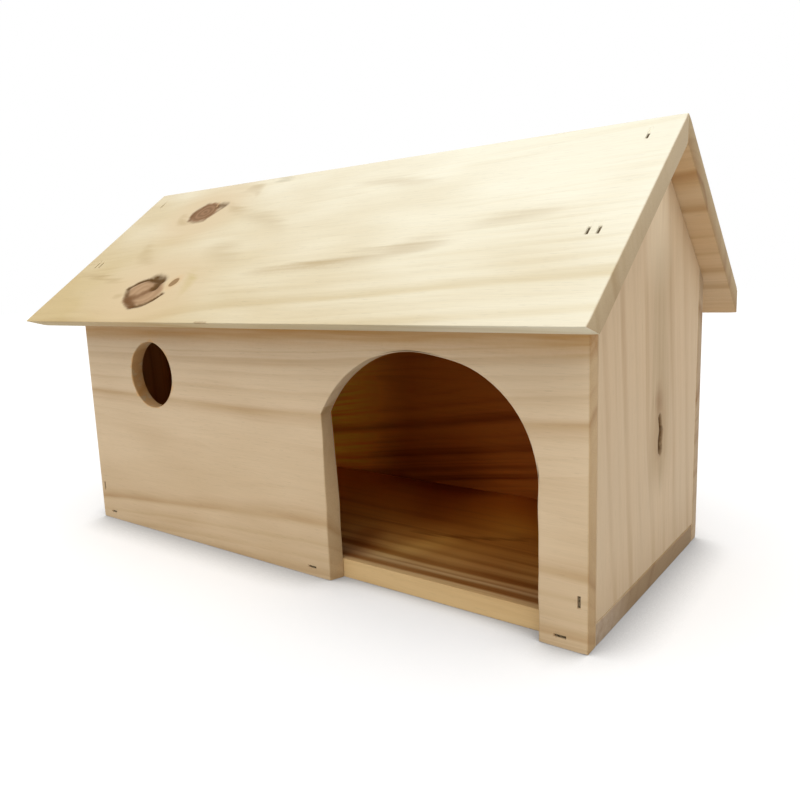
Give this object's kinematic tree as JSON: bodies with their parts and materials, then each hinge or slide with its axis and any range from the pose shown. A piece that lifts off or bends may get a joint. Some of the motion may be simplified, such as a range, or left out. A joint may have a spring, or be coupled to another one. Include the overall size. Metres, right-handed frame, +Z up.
{
  "type": "small animal house",
  "caption": "Wooden hideout for a small pet: a stapled pine box with an arched doorway, a round window and a gable roof that overhangs on every side.",
  "frame": {"origin": "on the ground, under the middle of the overall box", "axes": "+X along the ridge towards the doorway end, +Z up; the doorway and the window face -Y"},
  "size_m": [0.439, 0.258, 0.26],
  "materials": {
    "pine_board": "planed and sanded, unfinished",
    "staple_wire": "galvanised, dulled"
  },
  "bodies": {
    "root": {"floor_board": "pine_board", "front_wall": "pine_board", "back_wall": "pine_board", "left_gable": "pine_board", "right_gable": "pine_board", "front_roof_board": "pine_board", "back_roof_board": "pine_board", "front_corner_staples": "staple_wire", "front_floor_staples": "staple_wire", "back_corner_staples": "staple_wire", "back_floor_staples": "staple_wire", "front_roof_staples": "staple_wire", "back_roof_staples": "staple_wire"}
  },
  "joints": []
}
